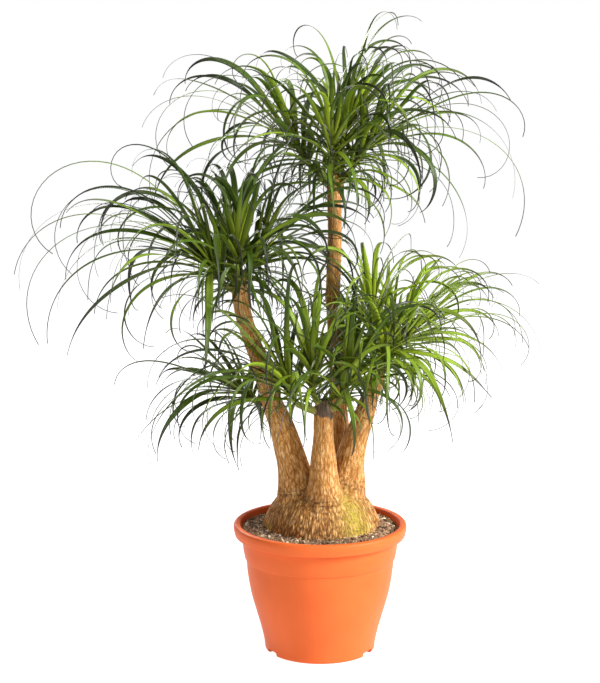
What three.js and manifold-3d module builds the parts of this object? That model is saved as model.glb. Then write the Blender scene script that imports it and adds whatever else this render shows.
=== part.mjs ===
// A potted ponytail palm: an orange plastic pot, its soil, one grown trunk with a swollen
// foot and four stems, and eighteen leafy shoots whose leaves are held in three tufts each.
// Millimetres, +Z up, +Y to the back. The origin is the middle of the pot's underside.

import * as THREE from 'three';
import { mergeVertices } from 'three/addons/utils/BufferGeometryUtils.js';
import Module from 'manifold-3d';

const wasm = await Module();
wasm.setup();

// ---- driving dimensions -------------------------------------------------------------------

const GAP = 0.35;                 // clearance between pieces that touch
const POT_HEIGHT = 240;
const POT_WALL = 3.5;
const POT_FLOOR = 4.5;
const POT_SIDES = 32;
const NOTCH = { count: 3, width: 32, height: 9, inside: 91, outside: 107 };   // drainage notches
const SOIL_EDGE_HEIGHT = 229;     // soil level at the pot's wall
const SOIL_MOUND_HEIGHT = 236;    // and where it meets the trunk
const CAUDEX_SIDES = 24;
const CAUDEX_SHIFT = 3;           // the swollen foot stands a little right of the pot's axis
const STEM_SIDES = 9;
const TWIG = { sides: 5, steps: 3, root: 8, bend: 7, tip: 3.4 };   // radii from the stem outwards
const SHEATH = { bore: 4.5, radius: 9.5, lift: 3, overrun: 6 };    // leaf bases round a twig
const TUFTS_PER_SHOOT = 3;
const LEAVES_PER_TUFT = 3;        // besides the long ones
const LEAF_START = 7;             // how far from a shoot's axis its leaves begin
const LEAF = { width: 14, tipWidth: 1.6, thickness: 2.4, tipThickness: 1.4, steps: 5, strides: 4 };
const LEAST_JOIN = 1;             // cubic millimetres that a leaf shares with its sheath
const GOLDEN_ANGLE = 137.508;
const TURNS = [0, 6, -6, 12, -12];   // a leaf turns aside by one of these to clear the others

// the open space between the left stem and the tall stem, [low corner, high corner]
const CLEARINGS = [
  [[-45, -41, 425], [9, 71, 555]],
  [[-93, -41, 555], [-11, 11, 711]],
];

// ---- small helpers ------------------------------------------------------------------------

const radians = THREE.MathUtils.degToRad;
const degrees = THREE.MathUtils.radToDeg;
const lerp = THREE.MathUtils.lerp;

// a repeatable number from 0 to 1 for item i, channel k
function noise(i, k) {
  const s = Math.sin(i * 12.9898 + k * 78.233) * 43758.5453;
  return s - Math.floor(s);
}

// the same, spread from low to high
function vary(i, k, low, high) {
  return lerp(low, high, noise(i, k));
}

// unit vector for a compass heading (0 = +X, 90 = +Y) and a rise above the horizontal
function direction(heading, rise) {
  const flat = Math.cos(radians(rise));
  const h = radians(heading);
  return new THREE.Vector3(flat * Math.cos(h), flat * Math.sin(h), Math.sin(radians(rise)));
}

// a closed geometry as a manifold solid
function solidOf(geometry) {
  const bare = geometry.clone();
  bare.deleteAttribute('normal');
  bare.deleteAttribute('uv');
  const merged = mergeVertices(bare, 1e-4);
  return new wasm.Manifold(new wasm.Mesh({
    numProp: 3,
    vertProperties: new Float32Array(merged.attributes.position.array),
    triVerts: new Uint32Array(merged.index.array),
  }));
}

// a manifold solid as a geometry
function geometryOf(solid) {
  const mesh = solid.getMesh();
  const geometry = new THREE.BufferGeometry();
  geometry.setAttribute('position', new THREE.BufferAttribute(mesh.vertProperties, 3));
  geometry.setIndex(new THREE.BufferAttribute(mesh.triVerts, 1));
  geometry.computeVertexNormals();
  return geometry;
}

// a closed profile of [radius, height] points turned round the Z axis
function turned(profile, sides) {
  const points = profile.map(([radius, height]) => new THREE.Vector2(radius, height));
  return new THREE.LatheGeometry(points, sides).rotateX(Math.PI / 2);
}

// a cylinder's rings laid along a list of stations; each station has a centre, two unit
// side directions and a half size along each
function swept(stations, sides) {
  const steps = stations.length - 1;
  const geometry = new THREE.CylinderGeometry(1, 1, 1, sides, steps);
  const position = geometry.attributes.position;
  const point = new THREE.Vector3();
  for (let i = 0; i < position.count; i += 1) {
    const station = stations[Math.round((position.getY(i) + 0.5) * steps)];
    point.copy(station.centre);
    point.addScaledVector(station.across, position.getX(i) * station.halfAcross);
    point.addScaledVector(station.over, position.getZ(i) * station.halfOver);
    position.setXYZ(i, point.x, point.y, point.z);
  }
  return geometry;
}

// a round tapering limb through [x, y, z, radius] points
function limb(points, sides, steps) {
  const path = new THREE.CatmullRomCurve3(points.map(([x, y, z]) => new THREE.Vector3(x, y, z)));
  const stations = [];
  for (let i = 0; i <= steps; i += 1) {
    const t = i / steps;
    const place = t * (points.length - 1);
    const from = Math.min(Math.floor(place), points.length - 2);
    const radius = lerp(points[from][3], points[from + 1][3], place - from);
    const along = path.getTangent(t);
    const across = new THREE.Vector3(0, 1, 0).cross(along).normalize();
    stations.push({
      centre: path.getPoint(t),
      across,
      over: new THREE.Vector3().crossVectors(across, along),
      halfAcross: radius,
      halfOver: radius,
    });
  }
  return swept(stations, sides);
}

// ---- materials ----------------------------------------------------------------------------

const POT_ORANGE = new THREE.MeshStandardMaterial({ color: 0xe8703a, roughness: 0.42, metalness: 0 });
const SOIL_BROWN = new THREE.MeshStandardMaterial({ color: 0x4b3b2c, roughness: 0.95, metalness: 0 });
const BARK_TAN = new THREE.MeshStandardMaterial({ color: 0xb98548, roughness: 0.8, metalness: 0 });
const LEAF_GREEN = new THREE.MeshStandardMaterial({ color: 0x3f7a24, roughness: 0.38, metalness: 0 });

// ---- pot ----------------------------------------------------------------------------------

// outer wall from the underside up to the top of the rolled rim, [radius, height]
const POT_OUTSIDE = [
  [98, 0], [102.5, 4], [104.5, 20], [110, 44], [118, 72], [128, 108], [134, 142], [137, 173],
  [139.5, 177], [142.5, 192], [144, 213], [147, 219.5], [155, 220.5], [159, 226], [160, 231],
  [158, 237.5], [153.5, POT_HEIGHT],
];

// inner wall from the lip down to the inside of the floor
const POT_INSIDE = [
  [149, POT_HEIGHT - 1.5], [146.5, 232], [145, 223], [140.5, 214], [138.5, 192], [135.5, 177],
  ...[[137, 172], [134, 142], [128, 108], [118, 72], [110, 44], [104.5, 20]]
    .map(([radius, height]) => [radius - POT_WALL, height]),
  [98, POT_FLOOR],
];

// an arch that runs in under the base's corner, open below
function notchSolid(turn) {
  const half = NOTCH.width / 2;
  const shoulder = NOTCH.height * 0.55;
  const arch = new THREE.Shape();
  arch.moveTo(-half, -2);
  arch.lineTo(half, -2);
  arch.lineTo(half, shoulder);
  arch.quadraticCurveTo(half, NOTCH.height, half / 2, NOTCH.height);
  arch.lineTo(-half / 2, NOTCH.height);
  arch.quadraticCurveTo(-half, NOTCH.height, -half, shoulder);
  const depth = NOTCH.outside - NOTCH.inside;
  const bar = new THREE.ExtrudeGeometry(arch, { depth, bevelEnabled: false, curveSegments: 3 });
  return solidOf(bar.rotateX(Math.PI / 2).translate(0, NOTCH.outside, 0).rotateZ(turn));
}

function potGeometry() {
  const profile = [[0, 0], ...POT_OUTSIDE, ...POT_INSIDE, [0, POT_FLOOR]];
  let pot = solidOf(turned(profile, POT_SIDES));
  for (let i = 0; i < NOTCH.count; i += 1) {
    pot = pot.subtract(notchSolid(i * 2 * Math.PI / NOTCH.count));
  }
  return geometryOf(pot);
}

// ---- trunk --------------------------------------------------------------------------------

// swollen foot, [radius, height]; the lowest part is buried in the soil
const CAUDEX = [
  [0, 168], [62, 168], [88, 184], [103, 208], [108, 232], [104, 250], [95, 268], [83, 285],
  [67, 299], [46, 308], [0, 312],
];

const STEMS = {
  left: [
    [-34, -12, 270, 50], [-42, -14, 312, 37], [-50, -16, 352, 29], [-60, -17, 390, 26],
    [-72, -18, 430, 22.5], [-90, -19, 475, 18.5], [-104, -20, 528, 16.5], [-122, -20, 578, 15.5],
    [-138, -20, 628, 15], [-148, -20, 690, 15],
  ],
  tall: [
    [24, 34, 270, 48], [31, 42, 312, 32], [38, 50, 350, 23], [37, 54, 407, 17.5],
    [32, 54, 490, 14.5], [27, 52, 584, 14], [23, 50, 650, 13.5], [24, 50, 700, 13.5],
    [26, 50, 768, 13], [25, 50, 820, 13], [24, 50, 868, 13],
  ],
  right: [
    [38, 2, 270, 52], [47, 4, 312, 38], [54, 4, 352, 28], [63, 4, 390, 23.5],
    [77, 4, 430, 19.5], [90, 4, 473, 16.5], [99, 5, 495, 15], [104, 5, 528, 14],
  ],
  stump: [
    [8, -42, 268, 52], [8, -52, 304, 36], [7, -58, 330, 28.5], [6, -60, 370, 23.5],
    [6, -61, 410, 19], [6, -62, 440, 18], [7, -62, 466, 17.5], [7, -62, 483, 13],
  ],
};

// Each leafy shoot: the stem point its twig grows from, the foot of its leafy part, the way
// it leans (heading, rise), its leaf count, leaf length, how far its leaves spread from its
// axis in degrees and the length of its leafy part.
const SHOOTS = [
  shoot('left_outer', [-147, -21, 672], [-176, -38, 694], 186, 56, 36, 330, 46, 62),
  shoot('left_back', [-147, -18, 676], [-160, 8, 700], 120, 74, 31, 290, 56, 60),
  shoot('left_right', [-147, -19, 674], [-132, -14, 704], 8, 56, 36, 290, 52, 60),
  shoot('left_front', [-147, -22, 674], [-148, -40, 702], 265, 76, 33, 270, 62, 64),
  shoot('right_upper', [103, 6, 520], [94, 14, 566], 95, 86, 33, 260, 56, 84),
  shoot('right_outer', [103, 5, 516], [138, 6, 560], 8, 50, 33, 250, 50, 64),
  shoot('right_front', [103, 3, 512], [110, -28, 546], 285, 62, 33, 260, 62, 50),
  shoot('right_back', [103, 7, 512], [122, 34, 548], 60, 50, 31, 250, 60, 52),
  shoot('front_left', [4, -63, 460], [-46, -76, 484], 185, 64, 36, 280, 52, 60),
  shoot('front_mid', [6, -64, 466], [-12, -72, 500], 250, 84, 33, 270, 56, 58),
  shoot('front_right', [9, -64, 460], [36, -76, 486], 335, 66, 33, 260, 58, 56),
  shoot('front_back', [96, 4, 488], [58, -28, 524], 80, 84, 26, 190, 46, 56),
  shoot('low_back', [-86, -18, 466], [-124, 34, 462], 162, 36, 33, 240, 60, 44),
  shoot('top_left', [24, 50, 850], [-22, 42, 898], 184, 54, 36, 290, 54, 72),
  shoot('top_right', [25, 50, 850], [62, 48, 896], 0, 54, 36, 290, 56, 72),
  shoot('top_front', [24, 49, 850], [18, 16, 892], 275, 70, 33, 260, 62, 74),
  shoot('top_back', [25, 52, 854], [30, 88, 906], 85, 66, 33, 270, 60, 74),
  shoot('top_crest', [25, 50, 862], [36, 52, 916], 8, 76, 36, 285, 42, 84),
];

// Long outer leaves set by hand: shoot, heading, rise, droop, length, curl, sway, width.
const LONG_LEAVES = [
  longLeaf('left_outer', 182, 50, 150, 480, 1.5, 0, 14),
  longLeaf('left_outer', 176, 44, 165, 500, 1.3, 10, 12),
  longLeaf('left_outer', 190, 40, 120, 430, 1.7, -10, 15),
  longLeaf('left_outer', 186, 30, 125, 400, 1.2, 0, 14),
  longLeaf('left_outer', 200, 22, 95, 330, 0.8, 0, 12),
  longLeaf('left_outer', 262, -10, 75, 230, 0.45, 0, 16),
  longLeaf('left_right', 300, 50, 135, 230, 0.9, 0, 15),
  longLeaf('left_right', 10, 62, 110, 260, 1.5, 0, 15),
  longLeaf('left_right', 350, 30, 100, 330, 1.1, 0, 14),
  longLeaf('top_crest', 5, 72, 165, 330, 1.6, 0, 15),
  longLeaf('top_right', 350, 32, 150, 430, 1.3, 0, 10),
  longLeaf('top_right', 10, 45, 150, 400, 1.3, 0, 13),
  longLeaf('top_left', 180, 48, 160, 400, 1.3, 0, 13),
  longLeaf('top_left', 190, 25, 110, 330, 1.2, 0, 13),
  longLeaf('right_upper', 20, 72, 140, 260, 1.8, 0, 15),
  longLeaf('right_outer', 0, 50, 140, 330, 1.3, 0, 13),
  longLeaf('right_outer', 350, 62, 150, 290, 1.3, 0, 14),
  longLeaf('right_front', 340, 8, 60, 220, 0.9, 0, 13),
  longLeaf('right_front', 320, 10, 90, 240, 0.9, 0, 12),
  longLeaf('low_back', 175, 30, 140, 300, 1.1, 0, 10),
  longLeaf('front_left', 195, 35, 125, 350, 1.2, 0, 14),
  longLeaf('front_left', 200, 50, 170, 250, 0.9, 0, 15),
  longLeaf('front_mid', 320, 60, 170, 250, 0.9, 0, 15),
];

function shoot(name, root, foot, heading, rise, leaves, length, spread, leafy) {
  return { name, root, foot, heading, rise, leaves, length, spread, leafy };
}

function longLeaf(name, heading, rise, droop, length, curl, sway, width) {
  return { name, heading, rise, droop, length, curl, sway, width };
}

// the leafy part's axis and two directions square to it
function shootFrame({ heading, rise, foot }) {
  const axis = direction(heading, rise);
  const u = new THREE.Vector3().crossVectors(axis, new THREE.Vector3(0, 0, 1)).normalize();
  const v = new THREE.Vector3().crossVectors(u, axis);
  return { axis, u, v, foot: new THREE.Vector3(...foot) };
}

// bark ridges on the swollen foot, as a factor on its radius
function ridges(angle, height) {
  const fade = THREE.MathUtils.smoothstep(height, 335, 240);
  return 1 + fade * (0.03 * Math.sin(5 * angle + 1) + 0.018 * Math.sin(11 * angle));
}

function caudexSolid(extra) {
  const profile = CAUDEX.map(([radius, height]) => [radius && radius + extra, height]);
  const geometry = turned(profile, CAUDEX_SIDES);
  const position = geometry.attributes.position;
  const underside = CAUDEX[0][1];
  for (let i = 0; i < position.count; i += 1) {
    const [x, y, z] = [position.getX(i), position.getY(i), position.getZ(i)];
    const factor = ridges(Math.atan2(y, x), z);
    position.setXYZ(i, x * factor + CAUDEX_SHIFT, y * factor, z < underside + 1 ? z - extra : z);
  }
  return solidOf(geometry);
}

function twigSolid({ root, foot, heading, rise, leafy }) {
  const start = new THREE.Vector3(...root);
  const base = new THREE.Vector3(...foot);
  const axis = direction(heading, rise);
  const bend = start.clone().lerp(base, 0.6).addScaledVector(axis, -6);
  const tip = base.clone().addScaledVector(axis, leafy * 0.9);
  return solidOf(limb([
    [...start.toArray(), TWIG.root],
    [...bend.toArray(), TWIG.bend],
    [...base.toArray(), TWIG.tip],
    [...tip.toArray(), TWIG.tip * 0.6],
  ], TWIG.sides, TWIG.steps));
}

function trunkSolid() {
  let trunk = caudexSolid(0);
  for (const points of Object.values(STEMS)) {
    trunk = trunk.add(solidOf(limb(points, STEM_SIDES, points.length + 3)));
  }
  for (const each of SHOOTS) {
    trunk = trunk.add(twigSolid(each));
  }
  return trunk;
}

// ---- soil ---------------------------------------------------------------------------------

function soilGeometry() {
  const underside = POT_FLOOR + GAP;
  const wall = POT_INSIDE
    .filter(([, height]) => height < SOIL_EDGE_HEIGHT)
    .map(([radius, height]) => [radius - GAP, Math.max(height, underside)])
    .reverse();
  const surface = [
    [145.6, SOIL_EDGE_HEIGHT],
    [130, SOIL_EDGE_HEIGHT + 2.5],
    [108, SOIL_MOUND_HEIGHT],
    [0, SOIL_MOUND_HEIGHT],
  ];
  const bed = solidOf(turned([[0, underside], ...wall, ...surface], POT_SIDES));
  return geometryOf(bed.subtract(caudexSolid(GAP)));
}

// ---- leaves -------------------------------------------------------------------------------

// a direction square to a shoot's axis, at an angle in degrees round it
function outward({ u, v }, angle) {
  return u.clone().multiplyScalar(Math.cos(radians(angle))).addScaledVector(v, Math.sin(radians(angle)));
}

// the leaves of one shoot, youngest and most upright first
function leavesOf(each, index) {
  const frame = shootFrame(each);
  const leaves = [];
  for (let i = 0; i < each.leaves; i += 1) {
    const age = (i + 0.5) / each.leaves;
    const seed = index * 31 + i;
    const cone = radians(4 + each.spread * age ** 0.75 + vary(seed, 1, -8, 8));
    const spin = i * GOLDEN_ANGLE + index * 50;
    const out = outward(frame, spin);
    const start = frame.axis.clone().multiplyScalar(Math.cos(cone)).addScaledVector(out, Math.sin(cone));
    const rise = degrees(Math.asin(start.z));
    const tipRise = age < 0.25 ? vary(seed, 3, -20, -130) : vary(seed, 3, -60, -200);
    const reach = 0.68 + 0.36 * Math.sin(Math.PI * (0.1 + 0.8 * age));
    const base = frame.foot.clone().addScaledVector(frame.axis, each.leafy * (1 - age));
    leaves.push({
      base: base.addScaledVector(out, LEAF_START),
      spin,
      heading: degrees(Math.atan2(start.y, start.x)),
      rise,
      droop: Math.max(60, rise - tipRise),
      length: each.length * reach * vary(seed, 2, 0.75, 1.2),
      curl: vary(seed, 4, 1.2, 2.6) + (age < 0.4 ? 0.8 : 0),
      sway: vary(seed, 5, -55, 55),
      width: LEAF.width * vary(seed, 6, 0.72, 1.17),
    });
  }
  return leaves;
}

// the hand-set leaves of one shoot, with the same fields
function longLeavesOf(each) {
  const { axis, u, v, foot } = shootFrame(each);
  return LONG_LEAVES.filter((leaf) => leaf.name === each.name).map((leaf) => {
    const start = direction(leaf.heading, leaf.rise);
    const out = start.clone().addScaledVector(axis, -start.dot(axis)).normalize();
    return {
      ...leaf,
      base: foot.clone().addScaledVector(axis, each.leafy / 2).addScaledVector(out, LEAF_START),
      spin: degrees(Math.atan2(start.dot(v), start.dot(u))),
    };
  });
}

// a strap that tapers to a thread and droops in an upright plane that turns a little
function leafSolid(leaf, turn) {
  const headingAt = (t) => leaf.heading + turn + leaf.sway * t * t;
  const alongAt = (t) => direction(headingAt(t), leaf.rise - leaf.droop * t ** leaf.curl);
  const stride = 1 / (LEAF.steps * LEAF.strides);
  const point = leaf.base.clone();
  const stations = [];
  for (let i = 0; i <= LEAF.steps; i += 1) {
    const t = i / LEAF.steps;
    const across = direction(headingAt(t) + 90, 0);
    const width = leaf.width * Math.min(1, 0.4 + 5 * t) * (1 - t ** 1.55) ** 1.35;
    stations.push({
      centre: point.clone(),
      across,
      over: new THREE.Vector3().crossVectors(across, alongAt(t)),
      halfAcross: Math.max(LEAF.tipWidth, width) / Math.sqrt(3),
      halfOver: lerp(LEAF.thickness, LEAF.tipThickness, t) / 2,
    });
    for (let k = 0; k < LEAF.strides; k += 1) {
      point.addScaledVector(alongAt(t + (k + 0.5) * stride), leaf.length * stride);
    }
  }
  return solidOf(swept(stations, 3));
}

// the wrapped leaf bases on one side of a shoot, a part ring as long as the leafy part
function sheathSolid(each, middle) {
  const half = radians(180 / TUFTS_PER_SHOOT);
  const side = GAP / SHEATH.bore;
  const ring = new THREE.Shape();
  ring.absarc(0, 0, SHEATH.radius, -half + side, half - side, false);
  ring.absarc(0, 0, SHEATH.bore, half - side, -half + side, true);
  const depth = each.leafy + SHEATH.overrun;
  const geometry = new THREE.ExtrudeGeometry(ring, { depth, bevelEnabled: false, curveSegments: 2 });
  const frame = shootFrame(each);
  const out = outward(frame, middle);
  const square = new THREE.Vector3().crossVectors(frame.axis, out);
  const place = new THREE.Matrix4().makeBasis(out, square, frame.axis).setPosition(frame.foot);
  place.multiply(new THREE.Matrix4().makeTranslation(0, 0, SHEATH.lift));
  return solidOf(geometry.applyMatrix4(place));
}

function boxesMeet(a, b) {
  return [0, 1, 2].every((k) => a.min[k] < b.max[k] && b.min[k] < a.max[k]);
}

// true where a solid cuts into any of the others
function cuts(solid, others) {
  const box = solid.boundingBox();
  return others.some((other) => boxesMeet(box, other.box) && solid.intersect(other.solid).volume() > 0);
}

function clearingSolid([low, high]) {
  const size = high.map((value, i) => value - low[i]);
  const middle = high.map((value, i) => (value + low[i]) / 2);
  return solidOf(new THREE.BoxGeometry(...size).translate(...middle));
}

function joins(solid, sheath) {
  return solid.intersect(sheath).volume() > LEAST_JOIN;
}

function boxed(solid, owner) {
  return { solid, owner, box: solid.boundingBox() };
}

// the leaves that grow on a tuft's side of its shoot, in the order they are tried
function leavesOn({ each, index, middle }) {
  const half = 180 / TUFTS_PER_SHOOT;
  const nearby = ({ spin }) => {
    const apart = THREE.MathUtils.euclideanModulo(spin - middle + 180, 360) - 180;
    return Math.abs(apart) < half;
  };
  const ordinary = leavesOf(each, index).filter(nearby);
  const odd = ordinary.filter((leaf, i) => i % 2 === 1);
  const even = ordinary.filter((leaf, i) => i % 2 === 0);
  return [...longLeavesOf(each).filter(nearby), ...odd, ...even];
}

// every tuft as { name, solid }: its part ring of leaf bases and the leaves that grow from it
function tuftSolids(trunk) {
  const tufts = [];
  const placed = [boxed(trunk, 'trunk'), ...CLEARINGS.map((box) => boxed(clearingSolid(box), 'air'))];
  SHOOTS.forEach((each, index) => {
    for (let k = 0; k < TUFTS_PER_SHOOT; k += 1) {
      const name = `${each.name}_leaves_${k + 1}`;
      const middle = index * 40 + k * 360 / TUFTS_PER_SHOOT;
      const sheath = sheathSolid(each, middle);
      tufts.push({ name, each, index, middle, sheath, solid: sheath });
      placed.push(boxed(sheath, name));
    }
  });
  for (const tuft of tufts) {
    const others = placed.filter((item) => item.owner !== tuft.name);
    let room = LEAVES_PER_TUFT;
    for (const leaf of leavesOn(tuft)) {
      const options = TURNS.map((turn) => leafSolid(leaf, turn));
      const solid = options.find((option) => joins(option, tuft.sheath) && !cuts(option, others));
      if (solid && (leaf.name || room > 0)) {
        tuft.solid = tuft.solid.add(solid);
        placed.push(boxed(solid, tuft.name));
        room -= leaf.name ? 0 : 1;
      }
    }
  }
  return tufts;
}

// ---- assembly -----------------------------------------------------------------------------

const plant = new THREE.Group();

function addPiece(name, geometry, material) {
  const mesh = new THREE.Mesh(geometry, material);
  mesh.name = name;
  plant.add(mesh);
}

const trunk = trunkSolid();
addPiece('pot', potGeometry(), POT_ORANGE);
addPiece('potting_soil', soilGeometry(), SOIL_BROWN);
addPiece('trunk', geometryOf(trunk), BARK_TAN);
for (const { name, solid } of tuftSolids(trunk)) {
  addPiece(name, geometryOf(solid), LEAF_GREEN);
}

export default plant;
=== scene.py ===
"""A potted ponytail palm: orange pot, bark compost, corky trunk and arching strap leaves."""

import math

import bmesh
import bpy
import numpy as np
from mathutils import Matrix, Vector, noise


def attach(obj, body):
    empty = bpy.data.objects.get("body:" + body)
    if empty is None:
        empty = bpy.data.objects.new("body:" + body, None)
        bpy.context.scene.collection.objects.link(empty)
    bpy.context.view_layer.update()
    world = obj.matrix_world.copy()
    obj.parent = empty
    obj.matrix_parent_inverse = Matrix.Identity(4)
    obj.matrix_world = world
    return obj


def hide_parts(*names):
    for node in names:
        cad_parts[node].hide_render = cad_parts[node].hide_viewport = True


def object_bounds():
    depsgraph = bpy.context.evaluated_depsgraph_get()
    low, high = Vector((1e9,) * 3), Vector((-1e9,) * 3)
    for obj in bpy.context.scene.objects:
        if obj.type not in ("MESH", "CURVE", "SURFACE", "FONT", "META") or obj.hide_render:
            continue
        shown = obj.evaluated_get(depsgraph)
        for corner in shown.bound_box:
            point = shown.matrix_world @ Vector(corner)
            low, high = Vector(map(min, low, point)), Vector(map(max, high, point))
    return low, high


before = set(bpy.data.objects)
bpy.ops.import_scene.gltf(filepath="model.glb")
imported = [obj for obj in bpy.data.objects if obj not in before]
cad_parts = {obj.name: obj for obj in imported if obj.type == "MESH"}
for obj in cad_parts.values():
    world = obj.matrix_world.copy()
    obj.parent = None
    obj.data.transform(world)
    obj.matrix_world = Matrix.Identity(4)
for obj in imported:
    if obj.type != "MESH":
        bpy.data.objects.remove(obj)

CAD_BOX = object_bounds()
MM = 0.001
BODY = "root"
GOLDEN_ANGLE = 137.508
TUFTS_PER_SHOOT = 3

# The stems' centre lines from the swollen foot upwards, (x, y, z, radius) in millimetres.
STEMS = {
    "left": [
        (-34, -12, 270, 50), (-42, -14, 312, 37), (-50, -16, 352, 29), (-60, -17, 390, 26),
        (-72, -18, 430, 22.5), (-90, -19, 475, 18.5), (-104, -20, 528, 16.5), (-122, -20, 578, 15.5),
        (-138, -20, 628, 15), (-148, -20, 690, 15),
    ],
    "tall": [
        (24, 34, 270, 48), (31, 42, 312, 32), (38, 50, 350, 23), (37, 54, 407, 17.5),
        (32, 54, 490, 14.5), (27, 52, 584, 14), (23, 50, 650, 13.5), (24, 50, 700, 13.5),
        (26, 50, 768, 13), (25, 50, 820, 13), (24, 50, 868, 13),
    ],
    "right": [
        (38, 2, 270, 52), (47, 4, 312, 38), (54, 4, 352, 28), (63, 4, 390, 23.5), (77, 4, 430, 19.5),
        (90, 4, 473, 16.5), (99, 5, 495, 15), (104, 5, 528, 14),
    ],
    "stump": [
        (8, -42, 268, 52), (8, -52, 304, 36), (7, -58, 330, 28.5), (6, -60, 370, 23.5), (6, -61, 410, 19),
        (6, -62, 440, 18), (7, -62, 466, 17.5), (7, -62, 483, 13),
    ],
}

# The swollen foot, (radius, height); the lowest part is buried.
CAUDEX = [
    (0, 168), (62, 168), (88, 184), (103, 208), (108, 232), (104, 250), (95, 268), (83, 285),
    (67, 299), (46, 308), (0, 312),
]
CAUDEX_SHIFT = 3        # its middle lies a little to the right of the pot's

# Each leafy shoot: where its twig leaves the stem, the foot of its leafy part, the heading and
# rise it leans in, its leaf count, leaf length, spread in degrees and the leafy part's length.
SHOOTS = [
    ("left_outer", (-147, -21, 672), (-176, -38, 694), 186, 56, 36, 330, 46, 62),
    ("left_back", (-147, -18, 676), (-160, 8, 700), 120, 74, 31, 290, 56, 60),
    ("left_right", (-147, -19, 674), (-132, -14, 704), 8, 56, 36, 290, 52, 60),
    ("left_front", (-147, -22, 674), (-148, -40, 702), 265, 76, 33, 270, 62, 64),
    ("right_upper", (103, 6, 520), (94, 14, 566), 95, 86, 33, 260, 56, 84),
    ("right_outer", (103, 5, 516), (138, 6, 560), 8, 50, 33, 250, 50, 64),
    ("right_front", (103, 3, 512), (110, -28, 546), 285, 62, 33, 260, 62, 50),
    ("right_back", (103, 7, 512), (122, 34, 548), 60, 50, 31, 250, 60, 52),
    ("front_left", (4, -63, 460), (-46, -76, 484), 185, 64, 36, 280, 52, 60),
    ("front_mid", (6, -64, 466), (-12, -72, 500), 250, 84, 33, 270, 56, 58),
    ("front_right", (9, -64, 460), (36, -76, 486), 335, 66, 33, 260, 58, 56),
    ("front_back", (96, 4, 488), (58, -28, 524), 80, 84, 26, 190, 46, 56),
    ("low_back", (-86, -18, 466), (-124, 34, 462), 162, 36, 33, 240, 60, 44),
    ("top_left", (24, 50, 850), (-22, 42, 898), 184, 54, 36, 290, 54, 72),
    ("top_right", (25, 50, 850), (62, 48, 896), 0, 54, 36, 290, 56, 72),
    ("top_front", (24, 49, 850), (18, 16, 892), 275, 70, 33, 260, 62, 74),
    ("top_back", (25, 52, 854), (30, 88, 906), 85, 66, 33, 270, 60, 74),
    ("top_crest", (25, 50, 862), (36, 52, 916), 8, 76, 36, 285, 42, 84),
]

# Long outer leaves, listed one by one: shoot, heading, rise, droop, length, curl, sway, width.
LONG_LEAVES = [
    ("left_outer", 182, 50, 150, 480, 1.5, 0, 14),
    ("left_outer", 176, 44, 165, 500, 1.3, 10, 12),
    ("left_outer", 190, 40, 120, 430, 1.7, -10, 15),
    ("left_outer", 186, 30, 125, 400, 1.2, 0, 14),
    ("left_outer", 200, 22, 95, 330, 0.8, 0, 12),
    ("left_outer", 262, -10, 75, 230, 0.45, 0, 16),
    ("left_right", 300, 50, 135, 230, 0.9, 0, 15),
    ("left_right", 10, 62, 110, 260, 1.5, 0, 15),
    ("left_right", 350, 30, 100, 330, 1.1, 0, 14),
    ("top_crest", 5, 72, 165, 330, 1.6, 0, 15),
    ("top_right", 350, 32, 150, 430, 1.3, 0, 10),
    ("top_right", 10, 45, 150, 400, 1.3, 0, 13),
    ("top_left", 180, 48, 160, 400, 1.3, 0, 13),
    ("top_left", 190, 25, 110, 330, 1.2, 0, 13),
    ("right_upper", 20, 72, 140, 260, 1.8, 0, 15),
    ("right_outer", 0, 50, 140, 330, 1.3, 0, 13),
    ("right_outer", 350, 62, 150, 290, 1.3, 0, 14),
    ("right_front", 340, 8, 60, 220, 0.9, 0, 13),
    ("right_front", 320, 10, 90, 240, 0.9, 0, 12),
    ("low_back", 175, 30, 140, 300, 1.1, 0, 10),
    ("front_left", 195, 35, 125, 350, 1.2, 0, 14),
    ("front_left", 200, 50, 170, 250, 0.9, 0, 15),
    ("front_mid", 320, 60, 170, 250, 0.9, 0, 15),
    ("left_outer", 184, 60, 210, 540, 2.1, 0, 11),
    ("left_outer", 178, 52, 195, 470, 1.9, 8, 10),
    ("left_outer", 190, 48, 230, 430, 1.7, -12, 10),
    ("left_outer", 182, 40, 130, 330, 1.7, 0, 14),
    ("top_right", 356, 38, 225, 410, 2.3, 0, 11),
    ("top_right", 8, 20, 125, 300, 2.2, 0, 10),
    ("top_left", 182, 68, 200, 370, 1.7, 0, 11),
    ("top_left", 188, 50, 190, 400, 1.8, 10, 10),
]


# ---- helpers ------------------------------------------------------------------------------

def random_at(i, k):
    """A repeatable number from 0 to 1 for item i, channel k, the same as in the CAD part."""
    s = math.sin(i * 12.9898 + k * 78.233) * 43758.5453
    return s - math.floor(s)


def direction(heading, rise):
    """Unit vectors for headings and rises in degrees, as an array."""
    h, r = np.radians(heading), np.radians(rise)
    return np.stack([np.cos(r) * np.cos(h), np.cos(r) * np.sin(h), np.sin(r) + 0 * h], axis=-1)


def smoothstep(low, high, x):
    t = np.clip((x - low) / (high - low), 0, 1)
    return t * t * (3 - 2 * t)


def mesh_object(name, points, faces, material, smooth=True):
    mesh = bpy.data.meshes.new(name)
    mesh.from_pydata([tuple(p) for p in points], [], [tuple(f) for f in faces])
    mesh.validate()
    if smooth:
        mesh.shade_smooth()
    if material:
        mesh.materials.append(material)
    obj = bpy.data.objects.new(name, mesh)
    bpy.context.scene.collection.objects.link(obj)
    return obj


def set_attribute(obj, name, values):
    layer = obj.data.attributes.new(name, "FLOAT", "POINT")
    layer.data.foreach_set("value", np.asarray(values, dtype=np.float32))


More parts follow.
